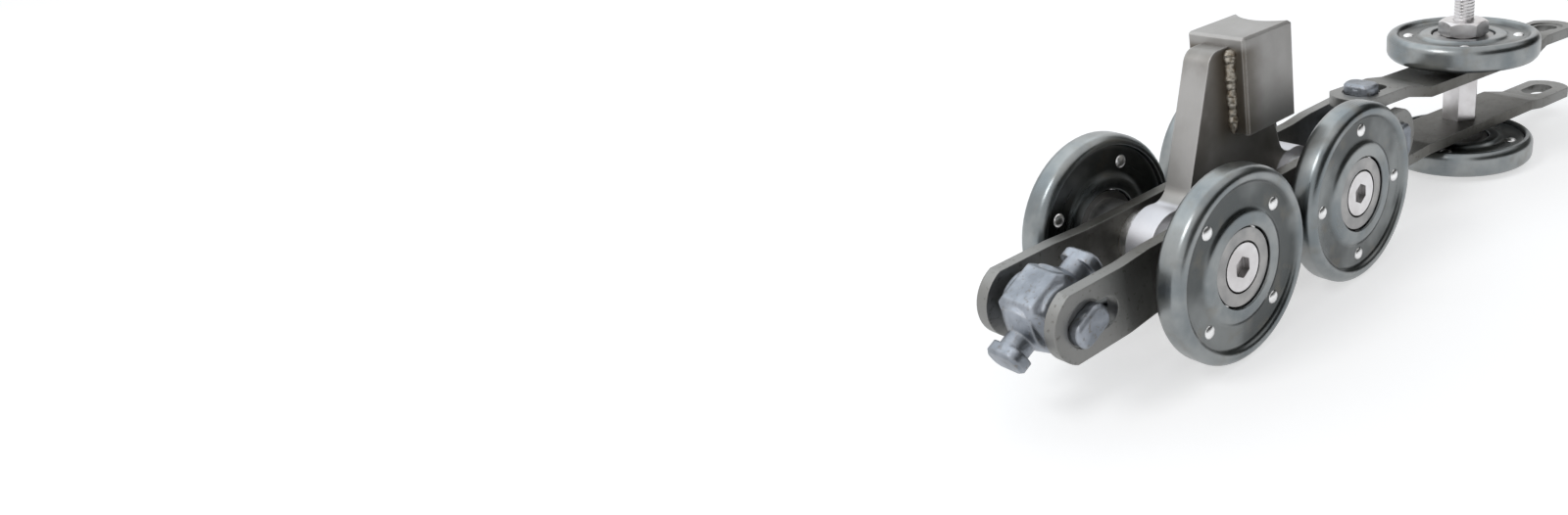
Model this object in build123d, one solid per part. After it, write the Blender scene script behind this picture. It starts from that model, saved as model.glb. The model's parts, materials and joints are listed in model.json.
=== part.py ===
"""Dog link and guide link of a two-plane riveted-wheel conveyor chain, joined by a T-headed cross.

The frame stands midway between the two load axles, on the chain's centre line: +X runs along the
chain towards the guide link, +Y is the left side and +Z is up. Sizes are in millimetres.
Each piece is its own solid, and each node is written to parts/NODE.step.
"""

import os
from itertools import combinations
from math import asin, atan2, cos, degrees, hypot, radians, sin, sqrt

from build123d import *

# Link lengths, from a link's middle to the middle of the cross at its end
DOG_HALF_PITCH = 80.0
GUIDE_HALF_PITCH = 65.0

# Link plates: strip with arc ends that pass between the next link's plates, joggled inwards to the middle
END_RADIUS = 11.5
END_CLEARANCE = 0.2
SWING = 25.0
SWING_CLEARANCE = 0.1
PLATE_THICKNESS = 4.2
DOG_JOGGLE = 1.4
GUIDE_JOGGLE = 2.4
GUIDE_NECK = 9.8
GUIDE_WAIST = 11.8
SHOULDER_START = 16.0
SHOULDER_LENGTH = 12.0
BEND_RADIUS = 8.0

# Cross: forged block with four T-headed trunnions, and the slots that take them
TRUNNION_DIAMETER = 8.8
SLOT_CLEARANCE = 0.2
SLOT_TRAVEL = 7.8
HEAD_LENGTH = 12.8
HEAD_WIDTH = 8.4
HEAD_THICKNESS = 3.8
HEAD_ROUND = 3.5
HEAD_BEVEL = 0.9
HEAD_GAP = 0.2
HEAD_ROOM = 0.5
RECESS_DEPTH = 0.6
BLOCK_ROOM = 3.4
BLOCK_HALF_THICKNESS = 10.5
BLOCK_CUT = 2.4
BLOCK_ROUND = 1.0
FLARE_ROOM = 0.4
FLARE_FOOT = 9.5

# Wheels: two pressed shells riveted round one row of balls
WHEEL_RADIUS = 30.0
WHEEL_WIDTH = 10.0
WHEEL_GAP = 2.5
LOAD_FACE = 32.5
GUIDE_FACE = 26.0
TREAD_ROUND = 2.0
RIM_THICKNESS = 3.2
RIM_FACE = 4.0
DISH_DEPTH = 1.8
BULGE_DEPTH = 0.6
BULGE_RADIUS = 16.6
DISH_SLOPE = 1.2
BALL_CIRCLE = 12.2
BALL_DIAMETER = 6.0
BALLS = 10
BALL_CLEARANCE = 0.3
LIP_GAP = 0.3
RIVET_CIRCLE = 21.4
RIVET_DIAMETER = 4.6
RIVETS = 4
RIVET_STAND = 0.9
SHELL_CLEARANCE = 0.05

# Axles, hubs and fasteners
AXLE_DIAMETER = 12.0
TUBE_DIAMETER = 17.0
HUB_BOSS_RADIUS = 9.6
HUB_SINK = 1.4
SCREW_HEAD_RADIUS = 7.4
SCREW_HEAD_HEIGHT = 3.0
SCREW_HEAD_ROOM = 0.6
SCREW_DIAMETER = 8.0
SCREW_LENGTH = 14.0
HEX_KEY = 6.0
HEX_KEY_DEPTH = 2.2
AXLE_END_GAP = 0.3
STUD_DIAMETER = 7.6
STUD_LENGTH = 12.0
STUD_POINT = 1.0
SHANK_PROUD = 0.5
NUT_ACROSS_FLATS = 17.0
NUT_HEIGHT = 6.0
POST_ACROSS_FLATS = 13.0

# Pusher dog: web plate on the axle tubes and a block with a hollow face, welded together
WEB_THICKNESS = 10.0
WEB_BOSS_RADIUS = 11.5
WEB_TOP = 54.0
WEB_BACK_TOP = -8.4
WEB_BACK_FOOT = -27.6
WEB_KEEL = -7.0
WEB_TOP_ROUND = 5.0
WEB_FOOT_FILLET = 6.0
BLOCK_LENGTH = 24.0
BLOCK_WIDTH = 22.0
BLOCK_BOTTOM = 26.5
BLOCK_TOP = 57.0
BLOCK_SEAT = 0.85
NOTCH_DEPTH = 4.0
NOTCH_LAND = 1.2
DOG_EDGE = 0.8
WELD_LEG = 2.4

# How the links lie: the guide link hangs from the cross until its lower wheel stands on the floor
GUIDE_YAW = -5.75
LEAD_CROSS_TILT = 63.0

# Turn of each wheel's first rivet from the X axis
RIVET_TURN = {
    "load_wheel_rear_right": 40.7,
    "load_wheel_rear_left": -63.2,
    "load_wheel_front_right": 86.8,
    "load_wheel_front_left": 15.0,
    "guide_wheel_upper": 35.0,
    "guide_wheel_lower": 68.6,
}

# Sizes that follow from the ones above
EYE_INNER = END_RADIUS + END_CLEARANCE
DOG_HALF_WIDTH = EYE_INNER * cos(radians(SWING)) - SWING_CLEARANCE
DOG_INNER = EYE_INNER - DOG_JOGGLE
GUIDE_INNER = EYE_INNER - GUIDE_JOGGLE
DOG_OUTER = DOG_INNER + PLATE_THICKNESS
GUIDE_OUTER = GUIDE_INNER + PLATE_THICKNESS
SLOT_RADIUS = TRUNNION_DIAMETER / 2 + SLOT_CLEARANCE
HEAD_SEAT = EYE_INNER + PLATE_THICKNESS - RECESS_DEPTH + HEAD_GAP
HEAD_TOP = HEAD_SEAT + HEAD_THICKNESS
CROSS_BLOCK = EYE_INNER - BLOCK_ROOM
LIP_RADIUS = BALL_CIRCLE + LIP_GAP
RACE_RADIUS = BALL_CIRCLE - LIP_GAP
CUP = BALL_DIAMETER / 2 + BALL_CLEARANCE
RIM_INNER = WHEEL_RADIUS - RIM_THICKNESS
AXLE_X = WHEEL_RADIUS + WHEEL_GAP / 2


def droop():
    """Angle at which the lower guide wheel's rounded edge meets the floor under the load wheels."""
    reach = GUIDE_HALF_PITCH + WHEEL_RADIUS - TREAD_ROUND
    return degrees(asin(WHEEL_RADIUS / hypot(reach, GUIDE_FACE)) - atan2(GUIDE_FACE, reach))


CROSS_PLACE = Pos(DOG_HALF_PITCH, 0, 0) * Rot(0, droop(), 0)
GUIDE_PLACE = CROSS_PLACE * Rot(0, 0, GUIDE_YAW) * Pos(GUIDE_HALF_PITCH, 0, 0)
LEAD_PLACE = Pos(-DOG_HALF_PITCH, 0, 0) * Rot(0, LEAD_CROSS_TILT, 0)
LEFT, RIGHT = Rot(-90, 0, 0), Rot(90, 0, 0)
UP, DOWN = Rot(0, 0, 0), Rot(180, 0, 0)


def turned(*points):
    """Body turned about Z from (radius, height) points."""
    return revolve(Plane.XZ * make_face(Polyline(*points, close=True)), Axis.Z)


def rod(radius, low, high):
    """Round bar along Z between two heights."""
    return Pos(0, 0, low) * extrude(Circle(radius), high - low)


def hexagon(across_flats, low, high):
    """Hexagon bar along Z with two flats square to X."""
    outline = Rot(0, 0, 30) * RegularPolygon(across_flats / 2, 6, major_radius=False)
    return Pos(0, 0, low) * extrude(outline, high - low)


def plate_outline(half_pitch, neck, waist):
    """Plan of a link plate: strip with arc ends, and shoulders out to the waist."""
    shoulder = half_pitch - SHOULDER_START
    middle = shoulder - SHOULDER_LENGTH
    ends = [Pos(side * half_pitch, 0) * Circle(END_RADIUS) for side in (-1, 1)]
    strip = Rectangle(2 * half_pitch, 2 * neck) + ends
    strip &= Rectangle(4 * half_pitch, 2 * neck)
    if waist > neck:
        upper = [(shoulder, neck), (middle, waist), (-middle, waist), (-shoulder, neck)]
        strip += make_face(Polyline(*upper, *[(x, -y) for x, y in reversed(upper)], close=True))
    return strip


def plate_side_view(half_pitch, joggle):
    """Thickness of a link plate: joggled in from the eyes to the middle with easy bends."""
    end = half_pitch + END_RADIUS
    shoulder = half_pitch - SHOULDER_START
    middle = shoulder - SHOULDER_LENGTH
    inner = [(end, EYE_INNER), (shoulder, EYE_INNER), (middle, EYE_INNER - joggle)]
    inner += [(-x, z) for x, z in reversed(inner)]
    outer = [(x, z + PLATE_THICKNESS) for x, z in reversed(inner)]
    side = make_face(Polyline(*inner, *outer, close=True))
    bends = side.vertices().filter_by(lambda v: abs(v.X) < half_pitch)
    return Plane.XZ * fillet(bends, BEND_RADIUS)


def link_plate(half_pitch, neck, waist, joggle, bores, bore_radius):
    """Link plate above the XY plane, with a slot and a head recess in each eye."""
    plate = extrude(plate_outline(half_pitch, neck, waist), EYE_INNER + PLATE_THICKNESS)
    plate &= extrude(plate_side_view(half_pitch, joggle), waist, both=True)
    slot = SlotCenterToCenter(SLOT_TRAVEL, 2 * SLOT_RADIUS)
    recess = rod(HEAD_LENGTH / 2 + HEAD_ROOM, HEAD_SEAT - HEAD_GAP, HEAD_TOP)
    for side in (-1, 1):
        plate -= Pos(side * (half_pitch - SLOT_TRAVEL / 2), 0) * extrude(slot, HEAD_TOP)
        plate -= Pos(side * half_pitch, 0) * recess
    for x in bores:
        plate -= Pos(x, 0) * rod(bore_radius, 0, HEAD_TOP)
    return plate


def trunnion():
    """One T-headed trunnion along Z, flared out of the block; the head lies along X."""
    neck = TRUNNION_DIAMETER / 2
    flare_top = EYE_INNER - FLARE_ROOM
    root = CROSS_BLOCK - BLOCK_CUT
    flare = turned((0, root), (FLARE_FOOT, root), (FLARE_FOOT, CROSS_BLOCK), (neck, flare_top), (0, flare_top))
    flare &= Box(2 * root, 4 * FLARE_FOOT, 4 * CROSS_BLOCK)
    shank = rod(neck, root, HEAD_SEAT + HEAD_THICKNESS / 2)
    bar = Pos(0, 0, HEAD_SEAT + HEAD_THICKNESS / 2) * Box(HEAD_LENGTH, HEAD_WIDTH, HEAD_THICKNESS)
    bar = fillet(bar.edges().filter_by(Axis.Z), HEAD_ROUND)
    bar = chamfer(bar.edges().group_by(Axis.Z)[-1], HEAD_BEVEL)
    return flare + shank + bar


def octagon(width, height, cut):
    return chamfer(Rectangle(width, height).vertices(), cut)


def cross_block():
    """Forged block: its corners cut along all three axes, then rounded."""
    across, thick = 2 * CROSS_BLOCK, 2 * BLOCK_HALF_THICKNESS
    block = extrude(Plane.YZ * octagon(across, across, BLOCK_CUT), BLOCK_HALF_THICKNESS, both=True)
    block &= extrude(Plane.XZ * octagon(thick, across, BLOCK_CUT), CROSS_BLOCK, both=True)
    block &= extrude(octagon(thick, across, BLOCK_CUT), CROSS_BLOCK, both=True)
    return fillet(block.edges(), BLOCK_ROUND)


def cross():
    """Forged cross: block, trunnions along Y for one link and along Z for the next."""
    block = cross_block()
    arm = Rot(0, 0, 90) * trunnion()
    for turn in (Rot(0, 0, 0), Rot(180, 0, 0)):
        block += turn * arm
    side_arm = Rot(90, 0, 0) * trunnion()
    head_upright = Rot(0, 90, 0)
    for turn in (Rot(0, 0, 0), Rot(0, 0, 180)):
        block += turn * head_upright * side_arm
    return block


def rivet_spots(turn):
    return [Rot(0, 0, turn + 360 * k / RIVETS) * Pos(RIVET_CIRCLE, 0) for k in range(RIVETS)]


def outer_shell(face, turn):
    """Pressed shell with the tread: rim, dished annulus and the bulge over the balls."""
    middle, back = face - WHEEL_WIDTH / 2, face - WHEEL_WIDTH
    dish, bulge = face - DISH_DEPTH, face - BULGE_DEPTH
    rim = WHEEL_RADIUS - RIM_FACE
    cup_roof = middle + CUP
    edge = TREAD_ROUND * (1 - sqrt(0.5))
    shell = turned(
        (LIP_RADIUS, bulge),
        (BULGE_RADIUS, bulge),
        (BULGE_RADIUS + DISH_SLOPE, dish),
        (rim - DISH_SLOPE / 2, dish),
        (rim, face),
        (WHEEL_RADIUS - TREAD_ROUND, face),
        (WHEEL_RADIUS - edge, face - edge),
        (WHEEL_RADIUS, face - TREAD_ROUND),
        (WHEEL_RADIUS, back + TREAD_ROUND),
        (WHEEL_RADIUS - edge, back + edge),
        (WHEEL_RADIUS - TREAD_ROUND, back),
        (RIM_INNER, back),
        (RIM_INNER, middle),
        (BALL_CIRCLE + CUP, middle),
        (BALL_CIRCLE + CUP, cup_roof),
        (LIP_RADIUS, cup_roof),
    )
    for spot in rivet_spots(turn):
        shell -= spot * rod(RIVET_DIAMETER / 2, back, face)
    return shell


def inner_shell(face, turn):
    """Pressed shell inside the rim, mirror of the outer dish."""
    middle, back = face - WHEEL_WIDTH / 2, face - WHEEL_WIDTH
    dish, bulge = back + DISH_DEPTH, back + BULGE_DEPTH
    cup_floor = middle - CUP
    edge = RIM_INNER - SHELL_CLEARANCE
    shell = turned(
        (LIP_RADIUS, bulge),
        (BULGE_RADIUS, bulge),
        (BULGE_RADIUS + DISH_SLOPE, dish),
        (edge, dish),
        (edge, middle),
        (BALL_CIRCLE + CUP, middle),
        (BALL_CIRCLE + CUP, cup_floor),
        (LIP_RADIUS, cup_floor),
    )
    for spot in rivet_spots(turn):
        shell -= spot * rod(RIVET_DIAMETER / 2, back, face)
    return shell


def rivets(face, turn):
    """Four rivets, headed a little proud of each dish."""
    low = face - WHEEL_WIDTH + DISH_DEPTH - RIVET_STAND
    high = face - DISH_DEPTH + RIVET_STAND
    body = chamfer(rod(RIVET_DIAMETER / 2, low, high).edges(), RIVET_STAND / 2)
    return [spot * body for spot in rivet_spots(turn)]


def ball():
    """Bearing ball, cut with twenty flats because the race hides it."""
    golden = (1 + sqrt(5)) / 2
    scale = BALL_DIAMETER / 2 / hypot(1, golden)
    tips = [(0, a, b * golden) for a in (-1, 1) for b in (-1, 1)]
    tips = [Vector(*tip[k:], *tip[:k]) for tip in tips for k in range(3)]
    flats = [t for t in combinations(tips, 3) if all(abs((a - b).length - 2) < 0.01 for a, b in combinations(t, 2))]
    faces = [Face(Wire.make_polygon([tip * scale for tip in flat])) for flat in flats]
    return Solid(Shell(faces))


def balls(face):
    """One row of balls between the shells and the hub."""
    middle = face - WHEEL_WIDTH / 2
    seat = Pos(BALL_CIRCLE, 0, middle)
    return [Rot(0, 0, 360 * k / BALLS) * seat * ball() for k in range(BALLS)]


def hub(face, seat, bore_radius, sunk_screw):
    """Inner race turned in one piece with its boss, from the link plate to the wheel's face."""
    middle, top = face - WHEEL_WIDTH / 2, face - HUB_SINK
    step = face - WHEEL_WIDTH + HUB_SINK
    groove = BALL_CIRCLE - CUP
    piece = turned(
        (bore_radius, seat),
        (HUB_BOSS_RADIUS, seat),
        (HUB_BOSS_RADIUS, step),
        (RACE_RADIUS, step),
        (RACE_RADIUS, middle - CUP),
        (groove, middle - CUP / 2),
        (groove, middle + CUP / 2),
        (RACE_RADIUS, middle + CUP),
        (RACE_RADIUS, top),
        (bore_radius, top),
    )
    if sunk_screw:
        piece -= rod(SCREW_HEAD_RADIUS + SCREW_HEAD_ROOM, top - SCREW_HEAD_HEIGHT, top)
    return piece


def socket_head(face):
    """Flat screw head, flush with the hub, with a hexagon socket."""
    head = rod(SCREW_HEAD_RADIUS, face - SCREW_HEAD_HEIGHT, face)
    return head - hexagon(HEX_KEY, face - HEX_KEY_DEPTH, face)


def load_screw():
    """Screw in the end of a load axle."""
    face = LOAD_FACE - HUB_SINK
    seat = face - SCREW_HEAD_HEIGHT
    return socket_head(face) + rod(SCREW_DIAMETER / 2, seat - SCREW_LENGTH, seat)


def load_axle():
    """Axle through both link plates, tapped at each end."""
    seat = LOAD_FACE - HUB_SINK - SCREW_HEAD_HEIGHT
    end = seat - AXLE_END_GAP
    axle = rod(AXLE_DIAMETER / 2, -end, end)
    tapped = rod(SCREW_DIAMETER / 2, seat - SCREW_LENGTH, LOAD_FACE)
    return axle - UP * tapped - DOWN * tapped


def guide_bolt():
    """Long screw through the guide link: socket head below, relieved stud above the nut."""
    shoulder = GUIDE_FACE - HUB_SINK + NUT_HEIGHT + SHANK_PROUD
    head_face = GUIDE_FACE - HUB_SINK
    shank = rod(SCREW_DIAMETER / 2, SCREW_HEAD_HEIGHT - head_face, shoulder)
    stud = rod(STUD_DIAMETER / 2, shoulder, shoulder + STUD_LENGTH + STUD_POINT)
    stud = chamfer(stud.edges().group_by(Axis.Z)[-1], STUD_POINT)
    return shank + stud + DOWN * socket_head(head_face)


def guide_nut():
    """Hexagon nut on the upper hub, its corners turned off."""
    seat = GUIDE_FACE - HUB_SINK
    top = seat + NUT_HEIGHT
    nut = hexagon(NUT_ACROSS_FLATS, seat, top)
    corner = NUT_ACROSS_FLATS / sqrt(3)
    flat = NUT_ACROSS_FLATS / 2
    slope = (corner - flat) / sqrt(3)
    nut &= turned((0, seat), (corner, seat), (corner, top - slope), (flat, top), (0, top))
    return nut - rod(SCREW_DIAMETER / 2, seat, top)


def tube(radius, bore_radius, half_length):
    return rod(radius, -half_length, half_length) - rod(bore_radius, -half_length, half_length)


def guide_post():
    """Hexagon distance post between the guide plates."""
    bar = hexagon(POST_ACROSS_FLATS, -GUIDE_INNER, GUIDE_INNER)
    return bar - rod(SCREW_DIAMETER / 2, -GUIDE_INNER, GUIDE_INNER)


def dog_web():
    """Web plate on edge along the chain: bosses round both tubes, and a ledge under the block."""
    ledge = BLOCK_LENGTH * BLOCK_SEAT
    side = make_face(
        Polyline(
            (WEB_BACK_FOOT, 0),
            (WEB_BACK_TOP, WEB_TOP),
            (0, WEB_TOP),
            (0, BLOCK_BOTTOM),
            (ledge, BLOCK_BOTTOM),
            (-WEB_BACK_FOOT, 0),
            (-WEB_BACK_FOOT, WEB_KEEL),
            (WEB_BACK_FOOT, WEB_KEEL),
            close=True,
        )
    )
    top_corner = side.vertices().sort_by_distance((WEB_BACK_TOP, WEB_TOP))[0]
    side = fillet(top_corner, WEB_TOP_ROUND)
    side += [Pos(x, 0) * Circle(WEB_BOSS_RADIUS) for x in (-AXLE_X, AXLE_X)]
    feet = [v for v in side.vertices() if 0 < v.Y < BLOCK_BOTTOM - 1]
    side = fillet(feet, WEB_FOOT_FILLET)
    side -= [Pos(x, 0) * Circle(TUBE_DIAMETER / 2) for x in (-AXLE_X, AXLE_X)]
    return extrude(Plane.XZ * side, WEB_THICKNESS / 2, both=True)


def dog_block():
    """Pusher block with a hollow front face that centres a round pin."""
    half = BLOCK_WIDTH / 2
    chord = half - NOTCH_LAND
    radius = (chord**2 + NOTCH_DEPTH**2) / (2 * NOTCH_DEPTH)
    plan = Pos(BLOCK_LENGTH / 2, 0) * Rectangle(BLOCK_LENGTH, BLOCK_WIDTH)
    plan -= Pos(BLOCK_LENGTH - NOTCH_DEPTH + radius, 0) * Circle(radius)
    block = Pos(0, 0, BLOCK_BOTTOM) * extrude(plan, BLOCK_TOP - BLOCK_BOTTOM)
    back = block.edges().filter_by(Axis.Z).group_by(Axis.X)[0]
    top = block.faces().sort_by(Axis.Z)[-1].edges()
    return chamfer([*back, *top], DOG_EDGE)


def dog_welds():
    """Fillet welds where the web meets the block's back, one on each side."""
    top = WEB_TOP - DOG_EDGE
    beads = []
    for side in (-1, 1):
        face = side * WEB_THICKNESS / 2
        corner = [(0, face), (-WELD_LEG, face), (0, face + side * WELD_LEG)]
        bead = extrude(make_face(Polyline(*corner, close=True)), top - BLOCK_BOTTOM)
        beads.append(Pos(0, 0, BLOCK_BOTTOM) * bead)
    return beads


def write(name, shape, place=None):
    """Put a piece, or a group of like pieces, in its place and write its node."""
    solids = [s for part in (shape if isinstance(shape, list) else [shape]) for s in part.solids()]
    placed = [place * solid if place else solid for solid in solids]
    body = placed[0] if len(placed) == 1 else Compound(children=placed)
    body.label = name
    export_step(body, f"parts/{name}.step")


def write_wheel(name, face, place):
    """Turning pieces of one wheel."""
    turn = RIVET_TURN[name]
    write(f"{name}_outer_shell", outer_shell(face, turn), place)
    write(f"{name}_inner_shell", inner_shell(face, turn), place)
    write(f"{name}_rivets", rivets(face, turn), place)
    write(f"{name}_balls", balls(face), place)


def write_dog_link():
    """Dog link: two plates on edge, two axles with their tubes and wheels, and the dog."""
    bores = (-AXLE_X, AXLE_X)
    plate = link_plate(DOG_HALF_PITCH, DOG_HALF_WIDTH, DOG_HALF_WIDTH, DOG_JOGGLE, bores, AXLE_DIAMETER / 2)
    write("dog_plate_left", plate, LEFT)
    write("dog_plate_right", plate, RIGHT)
    write("dog_web", dog_web())
    write("dog_block", dog_block())
    write("dog_welds", dog_welds())
    for end, x in (("rear", -AXLE_X), ("front", AXLE_X)):
        write(f"axle_tube_{end}", tube(TUBE_DIAMETER / 2, AXLE_DIAMETER / 2, DOG_INNER), Pos(x, 0, 0) * LEFT)
        write(f"load_axle_{end}", load_axle(), Pos(x, 0, 0) * LEFT)
        for side, outwards in (("left", LEFT), ("right", RIGHT)):
            place = Pos(x, 0, 0) * outwards
            write(f"load_hub_{end}_{side}", hub(LOAD_FACE, DOG_OUTER, AXLE_DIAMETER / 2, True), place)
            write(f"load_screw_{end}_{side}", load_screw(), place)
            write_wheel(f"load_wheel_{end}_{side}", LOAD_FACE, place)


def write_guide_link():
    """Guide link: two flat plates, hexagon post, long screw and two wheels lying flat."""
    plate = link_plate(GUIDE_HALF_PITCH, GUIDE_NECK, GUIDE_WAIST, GUIDE_JOGGLE, (0,), SCREW_DIAMETER / 2)
    write("guide_plate_upper", plate, GUIDE_PLACE * UP)
    write("guide_plate_lower", plate, GUIDE_PLACE * DOWN)
    write("guide_post", guide_post(), GUIDE_PLACE)
    write("guide_bolt", guide_bolt(), GUIDE_PLACE)
    write("guide_nut", guide_nut(), GUIDE_PLACE)
    for side, outwards in (("upper", UP), ("lower", DOWN)):
        place = GUIDE_PLACE * outwards
        write(f"guide_hub_{side}", hub(GUIDE_FACE, GUIDE_OUTER, SCREW_DIAMETER / 2, side == "lower"), place)
        write_wheel(f"guide_wheel_{side}", GUIDE_FACE, place)


os.makedirs("parts", exist_ok=True)
write("lead_cross", cross(), LEAD_PLACE)
write("mid_cross", cross(), CROSS_PLACE)
write_dog_link()
write_guide_link()
print("guide link droop", round(droop(), 4), "degrees")
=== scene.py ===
# %% [markdown]
# This file gives the finishes and the fine detail to a dog link and a guide link of a conveyor chain
# that runs on riveted ball-race wheels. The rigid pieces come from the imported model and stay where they
# are. Each step first says what the piece or finish is on the real chain, and why it is made this way.

# %% Load the frame
import bmesh
import bpy
import cmath
import json
import math
from mathutils import Matrix, Vector


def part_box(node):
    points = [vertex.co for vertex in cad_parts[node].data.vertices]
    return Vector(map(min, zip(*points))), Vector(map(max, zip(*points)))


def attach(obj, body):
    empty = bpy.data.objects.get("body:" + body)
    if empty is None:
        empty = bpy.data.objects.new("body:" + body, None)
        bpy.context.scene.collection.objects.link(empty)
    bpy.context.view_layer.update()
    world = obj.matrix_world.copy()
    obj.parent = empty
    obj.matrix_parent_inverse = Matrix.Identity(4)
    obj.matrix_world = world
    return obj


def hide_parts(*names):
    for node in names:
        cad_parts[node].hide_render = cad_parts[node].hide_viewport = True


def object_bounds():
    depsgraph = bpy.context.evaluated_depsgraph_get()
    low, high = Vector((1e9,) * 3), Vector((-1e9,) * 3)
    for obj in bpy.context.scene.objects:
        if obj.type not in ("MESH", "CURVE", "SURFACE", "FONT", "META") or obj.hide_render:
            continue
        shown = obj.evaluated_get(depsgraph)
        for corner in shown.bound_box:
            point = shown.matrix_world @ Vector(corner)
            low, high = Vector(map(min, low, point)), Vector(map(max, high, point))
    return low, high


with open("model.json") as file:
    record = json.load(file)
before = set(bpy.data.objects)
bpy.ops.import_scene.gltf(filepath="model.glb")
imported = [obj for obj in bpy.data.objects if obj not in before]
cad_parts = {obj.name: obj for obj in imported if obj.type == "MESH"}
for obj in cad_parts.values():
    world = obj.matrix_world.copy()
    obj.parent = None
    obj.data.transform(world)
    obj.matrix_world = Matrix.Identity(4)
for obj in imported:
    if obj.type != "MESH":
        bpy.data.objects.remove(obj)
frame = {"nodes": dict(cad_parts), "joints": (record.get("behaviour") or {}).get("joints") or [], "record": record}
nodes = frame["nodes"]
cad_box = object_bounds()

# %% [markdown]
# A finish on real steel is never one flat colour: it has clouds of oxide, fine scratches and worn edges.
# Those are sums of noise, and sums read best as Python. One small class wraps a socket and turns + - * /
# into Math nodes. Colours go through Mix nodes instead, because a Math node would turn them grey.

# %% Shader maths
class Wire:
    """An output socket of a finish, on which Python sums add Math nodes."""

    def __init__(self, finish, socket):
        self.finish, self.socket = finish, socket

    def sum(self, operation, first, second=0.0, clamp=False):
        settings = {"operation": operation, "use_clamp": clamp}
        return self.finish.node("ShaderNodeMath", settings, {0: first, 1: second})

    def __add__(self, other):
        return self.sum("ADD", self, other)

    def __radd__(self, other):
        return self.sum("ADD", other, self)

    def __sub__(self, other):
        return self.sum("SUBTRACT", self, other)

    def __rsub__(self, other):
        return self.sum("SUBTRACT", other, self)

    def __mul__(self, other):
        return self.sum("MULTIPLY", self, other)

    def __rmul__(self, other):
        return self.sum("MULTIPLY", other, self)

    def __truediv__(self, other):
        return self.sum("DIVIDE", self, other)

    def clamped(self):
        return self.sum("ADD", self, 0.0, clamp=True)


class Finish:
    """One material: its shader, the constants set on it, and the nodes that vary over the surface."""

    def __init__(self, name, **constants):
        self.material = bpy.data.materials.new(name)
        self.material.use_nodes = True
        self.tree = self.material.node_tree
        self.shader = self.tree.nodes["Principled BSDF"]
        self.set(**constants)
        self.place = self.node("ShaderNodeTexCoord", out="Object")

    def feed(self, socket, value):
        if isinstance(value, Wire):
            self.tree.links.new(value.socket, socket)
        else:
            socket.default_value = value

    def set(self, **inputs):
        for key, value in inputs.items():
            self.feed(self.shader.inputs[key.replace("_", " ")], value)

    def node(self, kind, settings=None, sockets=None, out=0):
        made = self.tree.nodes.new(kind)
        for key, value in (settings or {}).items():
            setattr(made, key, value)
        for key, value in (sockets or {}).items():
            self.feed(made.inputs[key], value)
        return Wire(self, made.outputs[out])

    def noise(self, size, detail=3.0, at=None):
        """Noise from 0 to 1 whose patches are about `size` metres across."""
        sockets = {"Vector": at or self.place, "Scale": 1 / size, "Detail": detail}
        return self.node("ShaderNodeTexNoise", None, sockets)

    def band(self, value, low, high):
        """0 at `low` and 1 at `high`, smooth between them; low may be above high."""
        sockets = {"Value": value, "From Min": low, "From Max": high}
        return self.node("ShaderNodeMapRange", {"interpolation_type": "SMOOTHSTEP"}, sockets)

    def mix(self, factor, first, second):
        return self.node("ShaderNodeMix", {"data_type": "RGBA"}, {0: factor, 6: first, 7: second}, out=2)

    def unsigned(self, value):
        """The value without its sign."""
        return self.node("ShaderNodeMath", {"operation": "ABSOLUTE"}, {0: value})

    def root(self, value):
        return self.node("ShaderNodeMath", {"operation": "SQRT"}, {0: value})

    def part(self, axis):
        """One coordinate of the place on the surface, in metres."""
        return self.node("ShaderNodeSeparateXYZ", None, {0: self.place}, out=axis)

    def background(self):
        """1 for the rays that show the background: to the camera, and mirrored or seen through."""
        kinds = ("Is Camera Ray", "Is Glossy Ray", "Is Transmission Ray")
        return sum((self.node("ShaderNodeLightPath", out=kind) for kind in kinds), 0.0).clamped()

    def soft_normal(self, reach):
        """Normal as if each edge were rounded off by `reach`."""
        return self.node("ShaderNodeBevel", {"samples": 4}, {"Radius": reach})

    def edge_wear(self, reach):
        """Rises from 0 on open faces towards 1 along edges, where handling rubs the skin off."""
        true = self.node("ShaderNodeNewGeometry", out="Normal")
        pair = {0: self.soft_normal(reach), 1: true}
        along = self.node("ShaderNodeVectorMath", {"operation": "DOT_PRODUCT"}, pair, "Value")
        return (1 - along).clamped()

    def corners(self, reach):
        """Rises from 0 on open faces towards 1 in corners and sockets, as a mask for painted shade there."""
        settings = {"samples": 4, "only_local": True}
        open_sky = self.node("ShaderNodeAmbientOcclusion", settings, {"Distance": reach}, "AO")
        return (1 - open_sky).clamped()

    def relief(self, height, depth, reach):
        """Bumps `depth` metres deep, on a surface whose edges are rounded by `reach`."""
        sockets = {"Height": height, "Distance": depth, "Normal": self.soft_normal(reach)}
        self.set(Normal=self.node("ShaderNodeBump", None, sockets))


def tint(level, red=1.0, blue=1.0):
    return (level * red, level, level * blue, 1)


FINISHES = {}


def keep(name, finish):
    FINISHES[name] = finish.material
    print("finish", name, "nodes", len(finish.tree.nodes))


print("a mid grey is written", tint(0.5))


# %% [markdown]
# The wheel shells are drawn from bright strip, so their surface is smooth and a little oily. Running in
# the track polishes the tread and leaves fine rings. The dished ring is painted darker in random patches,
# which is painted shade in that recess, and corners and sockets get painted shade too.
# Each shell is made in its own coordinates with Z on the axle, so the distance from the axle gives the
# rings and the dish. Slow noise gives the bluish and brownish clouds, moved by each wheel's own random
# number so that no two wheels are stained alike.

# %% Wheel steel
def from_axis(finish):
    """The three coordinates of the place, and its distance from the Z axis."""
    x, y, z = (finish.part(axis) for axis in range(3))
    return x, y, z, finish.root(x * x + y * y)


def rings(finish, pitch):
    """Fine rings round the Z axis: noise that runs fast outwards and slowly round."""
    x, _, z, radius = from_axis(finish)
    at = finish.node("ShaderNodeCombineXYZ", None, {0: radius, 1: z, 2: x * 0.04})
    return finish.noise(pitch, 4, at)


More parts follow.
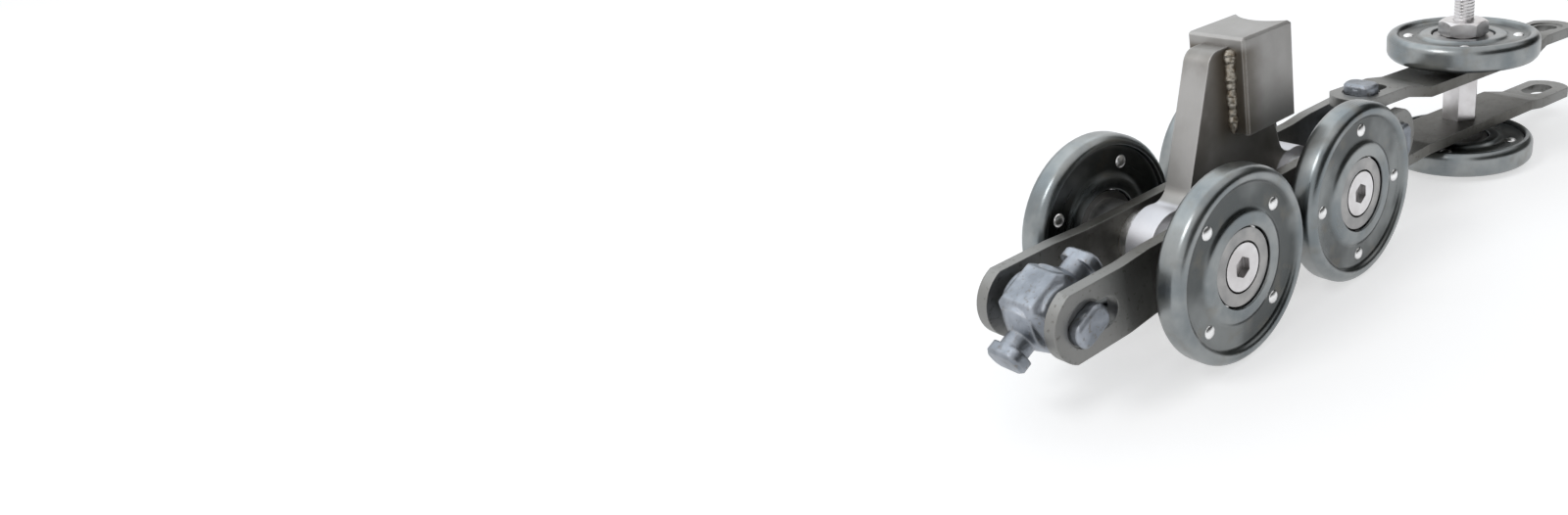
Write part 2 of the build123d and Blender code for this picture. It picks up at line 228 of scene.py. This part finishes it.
wheel = Finish("wheel_steel", Metallic=1.0)
own = wheel.node("ShaderNodeObjectInfo", out="Random")
shift = wheel.node("ShaderNodeCombineXYZ", None, {0: own * 5, 1: own * 2, 2: own})
spot = wheel.node("ShaderNodeVectorMath", {"operation": "ADD"}, {0: wheel.place, 1: shift})
cloud = wheel.noise(0.016, 4, spot)
ring = rings(wheel, 0.0006)
radius = from_axis(wheel)[3]
dish = wheel.band(radius, 0.0165, 0.0185) * wheel.band(radius, 0.0268, 0.0248)
skin = wheel.mix(wheel.band(cloud, 0.35, 0.68), tint(0.22, 0.90, 1.05), tint(0.34, 0.96, 1.0))
patch = wheel.band(wheel.noise(0.026, 3, spot), 0.42, 0.66)
# The dished ring is painted darker in patches: painted shade in that recess.
dish_shade = wheel.mix(patch, tint(0.085, 0.93, 1.0), tint(0.24, 0.95, 1.0))
skin = wheel.mix(dish * 0.9, skin, dish_shade)
stain = wheel.band(wheel.noise(0.007, 5, spot), 0.52, 0.74) * 0.35
skin = wheel.mix(stain, skin, tint(0.17, 1.12, 0.8))
# Corners and sockets are painted dark brown: painted shade.
skin = wheel.mix(wheel.corners(0.002) * 0.9, skin, tint(0.04, 1.1, 0.8))
wheel.set(Base_Color=wheel.mix(wheel.edge_wear(0.0008), skin, tint(0.5)))
wheel.set(Roughness=0.24 + cloud * 0.12 + (ring - 0.5) * 0.12)
wheel.relief(ring, 0.000012, 0.0004)
keep("wheel_steel", wheel)

# %% [markdown]
# Hubs are turned on a lathe from bar, so they carry the same kind of rings as a tread, at another pitch.
# Rivet heads are pressed bright by the tool and balls are polished, so plain noise is enough for both.

# %% Hub, rivet and ball steel
hub = Finish("hub_steel", Metallic=1.0)
ring = rings(hub, 0.0005)
hub.set(Base_Color=hub.mix(hub.band(hub.noise(0.008), 0.35, 0.7), tint(0.3), tint(0.42, 1.02, 0.98)))
hub.set(Roughness=0.3 + ring * 0.16)
hub.relief(ring, 0.00003, 0.0002)
keep("hub_steel", hub)

rivet = Finish("rivet_steel", Metallic=1.0)
rivet.set(Base_Color=rivet.mix(rivet.band(rivet.noise(0.003), 0.3, 0.7), tint(0.78), tint(0.92)))
rivet.set(Roughness=0.22 + rivet.noise(0.001) * 0.2)
rivet.relief(rivet.noise(0.0012), 0.00004, 0.0002)
keep("rivet_steel", rivet)

ball = Finish("ball_steel", Metallic=1.0)
ball.set(Base_Color=ball.mix(ball.noise(0.004), tint(0.5), tint(0.62)))
ball.set(Roughness=0.12 + ball.noise(0.002) * 0.15)
keep("ball_steel", ball)

# %% [markdown]
# Axle ends, screws, the post, the nut and the stud are zinc plated. Zinc grows in small bright crystals
# and goes slightly cloudy, so two sizes of noise move its brightness and its gloss. Sockets and corners
# are painted dark, which is painted shade.

# %% Zinc plate
zinc = Finish("zinc_steel", Metallic=1.0)
grain = zinc.noise(0.0011, 2)
cloud = zinc.noise(0.009, 3)
skin = zinc.mix(zinc.band(cloud, 0.3, 0.7), tint(0.58, 1.04, 1.0), tint(0.76, 1.02, 1.01))
# Sockets and corners are painted dark: painted shade.
skin = zinc.mix(zinc.corners(0.004), skin, tint(0.08, 1.05, 0.95))
zinc.set(Base_Color=zinc.mix(zinc.edge_wear(0.0005), skin, tint(0.88)))
zinc.set(Roughness=0.2 + grain * 0.16 + cloud * 0.08)
zinc.relief(grain, 0.000015, 0.0003)
keep("zinc_steel", zinc)

# %% [markdown]
# Link plates are hardened strip: a dark, oily, slightly brown skin with rolling marks along the strip,
# and edges that shearing and handling have left brighter. The wear comes from comparing the true normal
# with one whose edges are rounded, since the two differ only near an edge. Round each eye the crosses
# and the next links have rubbed the strip bright, so the skin also thins with nearness to an eye.

# %% Link plate steel
EYE_FROM_END = 0.0115
plate = Finish("link_plate_steel", Metallic=1.0)
cloud = plate.noise(0.014, 5)
fleck = plate.noise(0.0016, 3)
skin = plate.mix(plate.band(cloud, 0.32, 0.66), tint(0.09, 1.03, 0.88), tint(0.16, 1.02, 0.93))
crosses = {joint["name"]: Vector(joint["pos_m"]).x for joint in frame["joints"]}
tail_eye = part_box("guide_plate_upper")[1].x - EYE_FROM_END
eyes = [crosses["lead_cross_pitch"], crosses["mid_cross_pitch"], tail_eye]
near_eye = 0.0
for eye in eyes:
    away = plate.unsigned(plate.part(0) - eye)
    near_eye = plate.band(away + cloud * 0.008, 0.034, 0.008) + near_eye
skin = plate.mix(near_eye.clamped() * 0.8, skin, tint(0.31, 1.0, 0.98))
skin = plate.mix(plate.band(fleck, 0.6, 0.72) * 0.4, skin, tint(0.045, 1.25, 0.7))
edge = plate.band(plate.edge_wear(0.001), 0.02, 0.3) * 0.75
plate.set(Base_Color=plate.mix(edge, skin, tint(0.3, 1.0, 0.97)))
plate.set(Roughness=0.34 + cloud * 0.16 + fleck * 0.08)
plate.relief(fleck + cloud, 0.00005, 0.0005)
keep("link_plate_steel", plate)

# %% [markdown]
# The crosses are forgings. A forging skin is lightly pitted and bluish where the scale came off, with
# brown oil left in the hollows; its edges are well rounded.

# %% Forged steel
forged = Finish("forged_steel", Metallic=1.0)
pits = forged.noise(0.0014, 4)
cloud = forged.noise(0.009, 4)
skin = forged.mix(forged.band(cloud, 0.34, 0.66), tint(0.22, 0.92, 1.12), tint(0.36, 0.93, 1.12))
skin = forged.mix(forged.band(pits, 0.56, 0.72) * 0.5, skin, tint(0.13, 1.2, 0.75))
forged.set(Base_Color=forged.mix(forged.edge_wear(0.0014), skin, tint(0.62)))
forged.set(Roughness=0.3 + pits * 0.2)
forged.relief(pits + cloud, 0.00012, 0.0011)
keep("forged_steel", forged)

# %% [markdown]
# The dog's block and web are plain mill steel, warm grey and rather dull. Beside the bead, which stands at
# x = 0 between them, both are darker and browner, and this fades with the distance from that line. The
# web's flanks are darker and browner in clouds too. The two bosses round the axles are turned, and bright.

# %% Dog steel
HALF_WEB = 0.005
dog = Finish("dog_steel", Metallic=0.85)
cloud = dog.noise(0.02, 5)
x, y, z = (dog.part(axis) for axis in range(3))
side = dog.unsigned(y) - HALF_WEB
off_line = dog.root(x * x + side * side)
welded = dog.band(z, 0.02, 0.03) * dog.band(z, 0.055, 0.052)
beside = dog.band(off_line + (cloud - 0.5) * 0.006, 0.012, 0.003) * welded
normal = dog.node("ShaderNodeTexCoord", out="Normal")
turned_to = dog.node("ShaderNodeSeparateXYZ", None, {0: normal}, out=1)
flank = dog.band(dog.unsigned(turned_to), 0.5, 0.9)
# The web's flanks, which face sideways, are darker and browner in clouds.
dark_flank = flank * dog.band(side, 0.003, 0.001) * dog.band(cloud, 0.2, 0.7)
skin = dog.mix(dog.band(cloud, 0.3, 0.7), tint(0.32, 1.03, 0.96), tint(0.42, 1.02, 0.98))
skin = dog.mix(dark_flank * 0.8, skin, tint(0.09, 1.15, 0.8))
skin = dog.mix(beside * 0.9, skin, tint(0.09, 1.2, 0.75))
load_joints = [joint for joint in frame["joints"] if joint["child"].startswith("load_wheel")]
axle_x = max(Vector(joint["pos_m"]).x for joint in load_joints)
off_axle = dog.unsigned(x) - axle_x
boss = dog.band(dog.root(off_axle * off_axle + z * z), 0.013, 0.0118)
skin = dog.mix(boss * 0.9, skin, tint(0.66, 1.0, 1.05))
grind = dog.node("ShaderNodeCombineXYZ", None, {0: x * 0.12, 1: y, 2: z * 0.12})
scratch = dog.noise(0.0005, 3, grind)
dog.set(Base_Color=dog.mix(dog.band(dog.edge_wear(0.001), 0.02, 0.25) * 0.8, skin, tint(0.6, 1.02, 0.98)))
dog.set(Roughness=0.42 + cloud * 0.12 + (scratch - 0.5) * 0.15)
dog.relief(scratch, 0.00003, 0.0005)
keep("dog_steel", dog)

# %% [markdown]
# Weld metal cools in an arc's smoke, so it is mottled between bright and straw brown.

# %% Weld metal
weld = Finish("weld_metal", Metallic=0.9)
mottle = weld.noise(0.0016, 4)
weld.set(Base_Color=weld.mix(weld.band(mottle, 0.35, 0.65), tint(0.2, 1.2, 0.75), tint(0.5, 1.06, 0.88)))
weld.set(Roughness=0.32 + mottle * 0.3)
weld.relief(mottle, 0.0001, 0.0002)
keep("weld_metal", weld)


# %% [markdown]
# Each CAD node takes the finish that its slot in the record names, so a later change of slot in the
# record is followed here without any edit. The axle tubes are the one exception: their slot is zinc, but
# they are as bright as the rivets, so they take that finish.

# %% Give every CAD node its finish
slots = {row["node"]: row["material_slot"] for row in frame["record"]["subparts"]}
for name, node in nodes.items():
    finish = "rivet_steel" if name.startswith("axle_tube") else slots[name]
    node.data.materials.clear()
    node.data.materials.append(FINISHES[finish])
print("finished nodes:", len(nodes))

# %% [markdown]
# Wheels, hubs and rivets are all turned forms, so one lathe helper makes them from a profile. Every
# profile point carries its own rounding, because a pressed shell has soft corners and a turned hub has
# crisp ones, and it is this rounding that catches the light.

# %% Lathe helper
MM = 0.001
TINY_CORNER = 0.3
SHARP_FROM = math.radians(38)


def rounded(points, steps):
    """Closed profile in which each (radius, height, rounding) corner becomes a short curve."""
    path = []
    for before, here, after in zip(points[-1:] + points[:-1], points, points[1:] + points[:1]):
        corner = Vector(here[:2])
        arms = [Vector(other[:2]) - corner for other in (before, after)]
        reach = min(here[2], *(arm.length * 0.49 for arm in arms))
        if not reach:
            path.append(corner)
            continue
        start, end = (corner + arm.normalized() * reach for arm in arms)
        cuts = steps if reach > TINY_CORNER else 1
        for k in range(cuts + 1):
            t = k / cuts
            path.append(start.lerp(corner, t).lerp(corner.lerp(end, t), t))
    return path


def lathe(name, points, finish, turns=96, steps=4):
    """Mesh turned about Z from a closed profile in millimetres."""
    path = rounded(points, steps)
    work = bmesh.new()
    hoops = []
    for k in range(turns):
        angle = 2 * math.pi * k / turns
        c, s = math.cos(angle), math.sin(angle)
        hoops.append([work.verts.new((MM * r * c, MM * r * s, MM * z)) for r, z in path])
    for one, two in zip(hoops, hoops[1:] + hoops[:1]):
        for i in range(len(path)):
            work.faces.new((one[i - 1], one[i], two[i], two[i - 1]))
    bmesh.ops.remove_doubles(work, verts=work.verts, dist=1e-7)
    bmesh.ops.recalc_face_normals(work, faces=work.faces)
    return finished(work, name, finish)


def finished(work, name, finish):
    """Turn worked geometry into a smooth mesh that keeps its sharp corners."""
    mesh = bpy.data.meshes.new(name)
    work.to_mesh(mesh)
    work.free()
    mesh.shade_smooth()
    mesh.set_sharp_from_angle(angle=SHARP_FROM)
    mesh.materials.append(FINISHES[finish])
    return mesh


def piece(name, mesh, place, body, slot, *replaced):
    """Put a mesh in its place on a body, in the stead of the CAD nodes it details."""
    made = bpy.data.objects.new(name, mesh)
    bpy.context.scene.collection.objects.link(made)
    made.matrix_world = place
    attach(made, body)
    if replaced:
        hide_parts(*replaced)
    return made


def axis_frame(point, axis):
    """Frame at a point with Z along an axis."""
    turn = Vector(axis).to_track_quat("Z", "X")
    return Matrix.Translation(point) @ turn.to_matrix().to_4x4()


print("corners under", TINY_CORNER, "mm are cut once")


# %% [markdown]
# A wheel is two pressed shells held by four rivets round one row of balls. The outer shell makes the
# tread with its rounded shoulders, the rim, the dished ring that carries the rivets, and the raised ring
# over the balls; the inner shell sits inside the rim. Heights are from the middle of the tread.

# %% Wheel meshes
SHELL_TURNS = 70
RIVETS, RIVET_CIRCLE = 4, 21.4
BALLS, BALL_CIRCLE, BALL_RADIUS = 10, 12.2, 2.98
outer_profile = [
    (12.5, 4.4, 0.5), (16.4, 4.4, 1.3), (18.0, 3.2, 1.6), (25.0, 3.2, 1.8), (26.2, 5.0, 1.0),
    (28.2, 5.0, 1.2), (30.0, 3.2, 1.5), (30.0, -3.2, 1.5), (28.2, -5.0, 1.2), (26.8, -5.0, 0.2),
    (26.8, 0, 0.1), (15.5, 0, 0.1), (15.5, 3.1, 0.5), (12.5, 3.1, 0.2),
]
inner_profile = [
    (12.5, -4.4, 0.5), (16.4, -4.4, 1.3), (18.0, -3.2, 1.6), (26.75, -3.2, 0.7), (26.75, -0.05, 0.1),
    (15.5, -0.05, 0.1), (15.5, -3.1, 0.5), (12.5, -3.1, 0.2),
]
rivet_profile = [(0, 4.1, 0), (1.0, 4.0, 0.4), (1.9, 3.6, 0.5), (2.3, 3.1, 0.1), (2.3, -3.1, 0.1),
                 (1.9, -3.6, 0.5), (1.0, -4.0, 0.4), (0, -4.1, 0)]
outer_mesh = lathe("outer_shell", outer_profile, "wheel_steel", SHELL_TURNS)
inner_mesh = lathe("inner_shell", inner_profile, "wheel_steel", SHELL_TURNS, 3)


def gather(name, mesh, places, finish):
    """One mesh made of copies of another at several places."""
    work = bmesh.new()
    for place in places:
        copy = mesh.copy()
        copy.transform(place)
        work.from_mesh(copy)
        bpy.data.meshes.remove(copy)
    return finished(work, name, finish)


def ring_of(count, radius, turn):
    """Places evenly round Z, the first turned by `turn`."""
    out = Matrix.Translation((radius * MM, 0, 0))
    return [Matrix.Rotation(turn + 2 * math.pi * k / count, 4, "Z") @ out for k in range(count)]


def rivet_turn(node, place):
    """Angle of the first CAD rivet round the axle; the power folds the rivets onto one."""
    inverse = place.inverted()
    total = 0
    for vertex in nodes[node].data.vertices:
        at = inverse @ vertex.co
        total += complex(at.x, at.y) ** RIVETS
    return cmath.phase(total) / RIVETS


one_rivet = lathe("rivet", rivet_profile, "rivet_steel", 16, 2)
sphere = bmesh.new()
bmesh.ops.create_uvsphere(sphere, u_segments=10, v_segments=6, radius=BALL_RADIUS * MM)
one_ball = finished(sphere, "ball", "ball_steel")
balls_mesh = gather("balls", one_ball, ring_of(BALLS, BALL_CIRCLE, 0), "ball_steel")
print("faces: outer shell", len(outer_mesh.polygons), "ball row", len(balls_mesh.polygons))

# %% [markdown]
# The wheel joints of the frame give each wheel's middle and axle, so the meshes need no positions of
# their own. Outwards is away from the link's middle, which for these joints is the side that the name
# tells: left and upper lie along the axis, right and lower against it.

# %% Build the six wheels
for joint in frame["joints"]:
    body = joint["child"]
    if "wheel" not in body:
        continue
    side = 1 if body.endswith(("left", "upper")) else -1
    place = axis_frame(joint["pos_m"], side * Vector(joint["axis"]))
    turn = rivet_turn(f"{body}_rivets", place)
    rivets_mesh = gather("rivets", one_rivet, ring_of(RIVETS, RIVET_CIRCLE, turn), "rivet_steel")
    piece(f"{body}_tread_and_dish", outer_mesh, place, body, "wheel_steel", f"{body}_outer_shell")
    piece(f"{body}_back_dish", inner_mesh, place, body, "wheel_steel", f"{body}_inner_shell")
    piece(f"{body}_riveting", rivets_mesh, place, body, "rivet_steel", f"{body}_rivets")
    piece(f"{body}_ball_row", balls_mesh, place, body, "ball_steel", f"{body}_balls")
    print(body, "rivets turned", round(math.degrees(turn), 1))

# %% [markdown]
# Welding leaves a bead down each side of the web, where it meets the block's back. Each run of the torch
# stops and starts in small overlapping scales, so the bead is swept up the corner with a wavy section
# and curved ripples, thinner at both ends.

# %% Weld beads
LEG, RIPPLE = 2.4, 2.1
HALF_WEB_MM = HALF_WEB / MM
SINK = 0.3


def bead(side, low, high):
    """Rippled fillet between the web's face and the block's back, along Z."""
    work = bmesh.new()
    rows = []
    count, across = 150, 8
    for i in range(count + 1):
        t = i / count
        z = low + (high - low) * t
        ends = min(1, 8 * t + 0.3, 12 * (1 - t) + 0.5)
        wave = 1 + 0.35 * t * t + 0.12 * math.sin(z * 0.9 + side) + 0.06 * math.sin(z * 2.3)
        row = [work.verts.new((SINK * MM, side * (HALF_WEB_MM - SINK) * MM, z * MM))]
        for k in range(across + 1):
            a = math.pi / 2 * k / across
            lag = 0.9 * math.sin(2 * a)
            ripple = abs(math.sin(math.pi * (z - lag) / RIPPLE)) ** 0.6
            reach = LEG * ends * wave * (0.80 + 0.16 * ripple * math.sin(2 * a))
            bulge = 0.72 + 0.28 * (math.cos(a) ** 4 + math.sin(a) ** 4)
            back = -reach * bulge * math.cos(a)
            out = side * (HALF_WEB_MM + reach * bulge * math.sin(a))
            row.append(work.verts.new((back * MM, out * MM, z * MM)))
        rows.append(row)
    size = across + 2
    for one, two in zip(rows, rows[1:]):
        for k in range(size):
            work.faces.new((one[k - 1], one[k], two[k], two[k - 1]))
    work.faces.new(rows[0])
    work.faces.new(rows[-1])
    bmesh.ops.recalc_face_normals(work, faces=work.faces)
    return finished(work, "bead", "weld_metal")


weld_low, weld_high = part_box("dog_welds")
seams = [bead(side, weld_low.z / MM, weld_high.z / MM) for side in (-1, 1)]
work = bmesh.new()
for seam in seams:
    work.from_mesh(seam)
beads_mesh = finished(work, "weld_beads", "weld_metal")
piece("weld_beads", beads_mesh, Matrix.Identity(4), "dog_link", "weld_metal", "dog_welds")
print("beads run", round(weld_high.z - weld_low.z, 4), "m")

# %% [markdown]
# The long screw of the guide link ends in a threaded stud above the nut. A thread is one groove that
# climbs a pitch in each turn, so its radius follows the height minus the share of the turn. It goes over
# the frame's plain stud, which is a little thinner than the crests. The screw leans with the link, so
# heights are measured along the spindle and not straight up.

# %% Threaded stud
spin = next(j for j in frame["joints"] if j["name"] == "guide_wheel_upper_spin")
up = Vector(spin["axis"])
wheel_middle = Vector(spin["pos_m"])
guide_place = axis_frame(wheel_middle, up)
PITCH, CREST, ROOT, TIP_CUT = 1.25, 3.95, 3.3, 0.95
FLANK = 1.25
IN_NUT = 1


def along_spindle(node):
    """Lowest and highest place of a node along the spindle, in millimetres from the wheel's middle."""
    places = [(vertex.co - wheel_middle).dot(up) / MM for vertex in nodes[node].data.vertices]
    return min(places), max(places)


tip = along_spindle("guide_bolt")[1]
nut_low, nut_high = along_spindle("guide_nut")
print("nut from", round(nut_low, 2), "to", round(nut_high, 2), "mm, stud up to", round(tip, 2), "mm")


def screw(low, high):
    """Threaded rod along Z with a chamfered tip."""
    work = bmesh.new()
    rows, round_steps, per_pitch = [], 36, 6
    for i in range(int((high - low) / PITCH * per_pitch) + 1):
        z = low + i * PITCH / per_pitch
        row = []
        for k in range(round_steps):
            share = (z / PITCH - k / round_steps) % 1
            radius = ROOT + (CREST - ROOT) * min(1, abs(2 * share - 1) * FLANK)
            radius = min(radius, CREST - TIP_CUT + (high - z) * TIP_CUT)
            angle = 2 * math.pi * k / round_steps
            x, y = radius * math.cos(angle), radius * math.sin(angle)
            row.append(work.verts.new((MM * x, MM * y, MM * z)))
        rows.append(row)
    for one, two in zip(rows, rows[1:]):
        for k in range(round_steps):
            work.faces.new((one[k - 1], one[k], two[k], two[k - 1]))
    work.faces.new(rows[0])
    work.faces.new(rows[-1])
    bmesh.ops.recalc_face_normals(work, faces=work.faces)
    return finished(work, "thread", "zinc_steel")


piece("stud_thread", screw(nut_high - IN_NUT, tip), guide_place, "guide_link", "zinc_steel")

# %% [markdown]
# The nut is a hexagon whose corners are turned off at both ends, and whose thread opens in a small
# countersink. On a lathe that is one turned ring, so the nut is a hexagon bar cut by that ring with a
# Boolean. A nut stops where it is tight, so its first flat stands 28 degrees off the dog link's line.

# %% Nut
ACROSS_FLATS, NUT_TURN, CORNER_CUT = 17.0, 28.0, 1.15
THREAD_OPEN, SINK_OPEN, SINK_DEPTH, FACE_EDGE = 3.5, 4.3, 0.8, 0.35


def hexagon_bar(flats, low, high):
    """Hexagon bar along Z with flats square to X."""
    work = bmesh.new()
    corner = flats / math.sqrt(3)
    angles = [math.pi / 3 * (k + 0.5) for k in range(6)]
    spokes = [(corner * math.cos(angle), corner * math.sin(angle)) for angle in angles]
    ends = [[work.verts.new((MM * x, MM * y, MM * z)) for x, y in spokes] for z in (low, high)]
    for k in range(6):
        work.faces.new((ends[0][k - 1], ends[0][k], ends[1][k], ends[1][k - 1]))
    work.faces.new(ends[0][::-1])
    work.faces.new(ends[1])
    return finished(work, "bar", "zinc_steel")


def common(mesh, cutter):
    """The solid that two meshes share."""
    holders = [bpy.data.objects.new("cut", one) for one in (mesh, cutter)]
    for holder in holders:
        bpy.context.scene.collection.objects.link(holder)
    cut = holders[0].modifiers.new("cut", "BOOLEAN")
    cut.operation, cut.object, cut.solver = "INTERSECT", holders[1], "EXACT"
    graph = bpy.context.evaluated_depsgraph_get()
    shared = bpy.data.meshes.new_from_object(holders[0].evaluated_get(graph))
    for holder in holders:
        bpy.data.objects.remove(holder)
    return shared


face = ACROSS_FLATS / 2 - FACE_EDGE
far = face + CORNER_CUT * math.sqrt(3)
turned_ring = [
    (THREAD_OPEN, nut_low + SINK_DEPTH, 0), (SINK_OPEN, nut_low, 0), (face, nut_low, 0),
    (far, nut_low + CORNER_CUT, 0), (far, nut_high - CORNER_CUT, 0), (face, nut_high, 0),
    (SINK_OPEN, nut_high, 0), (THREAD_OPEN, nut_high - SINK_DEPTH, 0),
]
bar = hexagon_bar(ACROSS_FLATS, nut_low, nut_high)
nut_mesh = common(bar, lathe("turned", turned_ring, "zinc_steel", 72))
nut_mesh.shade_smooth()
nut_mesh.set_sharp_from_angle(angle=math.radians(20))
first_flat = guide_place.to_3x3() @ Vector((1, 0, 0))
stands_at = math.atan2(first_flat.y, first_flat.x)
nut_place = guide_place @ Matrix.Rotation(math.radians(NUT_TURN) - stands_at, 4, "Z")
piece("chamfered_nut", nut_mesh, nut_place, "guide_link", "zinc_steel", "guide_nut")
lean = math.degrees(up.angle(Vector((0, 0, 1))))
print("nut faces", len(nut_mesh.polygons), "spindle leans", round(lean, 2), "degrees")

# %% [markdown]
# The setting is a plain white floor under soft light, as on a catalogue page. The camera and the steel
# both see floor and sky as white, and the floor keeps the shadow. Steel needs something dark to mirror
# or its rims and steps vanish, so two large dark cards stand far off on the near side and beyond the far
# end, as a studio's cards do. Only mirror rays see them, so they cast no shadow on the floor.

# %% Floor and dark cards
FLOOR = 6.0
CARD_Y, CARD_X, CARD_LOW, CARD_HIGH = -2.2, 3.2, 0.1, 2.6


def stand(name, corners, material):
    """Flat sheet that is part of the setting."""
    mesh = bpy.data.meshes.new(name)
    mesh.from_pydata(corners, [], [(0, 1, 2, 3)])
    mesh.materials.append(material)
    made = bpy.data.objects.new(name, mesh)
    bpy.context.scene.collection.objects.link(made)
    return made


paper = Finish("paper", Roughness=0.9, Specular_IOR_Level=0.1, Emission_Strength=0.56)
paper.set(Base_Color=paper.mix(paper.noise(0.4), tint(0.6), tint(0.62)))
paper.set(Emission_Color=paper.mix(paper.background(), tint(0.0), tint(1.0)))
level = cad_box[0].z
corners = [(x * FLOOR, y * FLOOR, level) for x, y in ((-1, -1), (1, -1), (1, 1), (-1, 1))]
stand("floor", corners, paper.material)
felt = Finish("felt", Roughness=1.0, Specular_IOR_Level=0.0)
felt.set(Base_Color=felt.mix(felt.noise(0.3), tint(0.05, 0.98, 0.9), tint(0.08, 0.98, 0.9)))


def upright(name, start, end):
    """Dark card standing over the line from start to end."""
    foot, top = ([(x, y, z) for x, y in (start, end)] for z in (CARD_LOW, CARD_HIGH))
    card = stand(name, foot + top[::-1], felt.material)
    card.visible_camera = card.visible_diffuse = card.visible_shadow = False


upright("near_card", (-1.6, CARD_Y), (CARD_X, CARD_Y))
upright("far_card", (CARD_X, CARD_Y), (CARD_X, 0.3))
print("floor at", round(level, 4), "m, cards", CARD_HIGH - CARD_LOW, "m high")

# %% [markdown]
# The sky gives an even, slightly blue light, and is white where it is looked at or mirrored. A broad cool
# lamp above and behind the chain shapes the treads, and a small one from the near end lifts the faces
# that look that way.

# %% Sky and lamps
world = bpy.data.worlds.new("studio")
world.use_nodes = True
bpy.context.scene.world = world


class Sky(Finish):
    """The world's own nodes, with the same way of adding nodes as a finish."""

    def __init__(self, world):
        self.tree = world.node_tree
        self.shader = self.tree.nodes["Background"]


sky = Sky(world)
sky.set(Color=sky.mix(sky.background(), tint(0.55, 0.98, 1.03), tint(1.0)), Strength=1.0)


def lamp(name, place, target, width, height, watts, colour=(1, 1, 1)):
    light = bpy.data.lights.new(name, "AREA")
    light.shape, light.size, light.size_y = "RECTANGLE", width, height
    light.energy, light.color = watts, colour
    made = bpy.data.objects.new(name, light)
    made.location = place
    made.rotation_euler = (Vector(target) - Vector(place)).to_track_quat("-Z", "Y").to_euler()
    bpy.context.scene.collection.objects.link(made)


lamp("overhead", (0.3, 1.3, 1.6), (0.05, 0, 0), 3.0, 1.4, 8, (0.82, 0.93, 1))
lamp("key", (-0.8, 0.25, 1.0), (0.02, 0, 0), 0.4, 0.4, 4)
print("lamps:", len(bpy.data.lights))

# %% [markdown]
# The camera stands low and close, before the near end of the chain, and turns slightly about its own
# axis. Its sideways shift puts the links at the right of a wide picture.

# %% Camera
SENSOR, LENS, SIDE_SHIFT, NEAR_CLIP = 36, 25.03, -0.25, 0.01
AZIMUTH, ELEVATION, ROLL = -46.64, 25.76, -5.36
scene = bpy.context.scene
scene.view_settings.view_transform = "Standard"
camera = bpy.data.objects.new("camera", bpy.data.cameras.new("camera"))
scene.collection.objects.link(camera)
scene.camera = camera
azimuth, elevation, roll = (math.radians(angle) for angle in (AZIMUTH, ELEVATION, ROLL))
right = Vector((math.cos(azimuth), math.sin(azimuth), 0))
level_ahead = Vector((-math.sin(azimuth), math.cos(azimuth), 0))
forward = level_ahead * math.cos(elevation) - Vector((0, 0, math.sin(elevation)))
across = right * math.cos(roll) + right.cross(forward) * math.sin(roll)
camera.location = (-0.2486, -0.21022, 0.14074)
camera.rotation_euler = Matrix((across, across.cross(forward), -forward)).transposed().to_euler()
camera.data.sensor_width = SENSOR
camera.data.lens = LENS
camera.data.shift_x = SIDE_SHIFT
camera.data.clip_start = NEAR_CLIP
print("camera", LENS, "mm, at", [round(v, 3) for v in camera.location])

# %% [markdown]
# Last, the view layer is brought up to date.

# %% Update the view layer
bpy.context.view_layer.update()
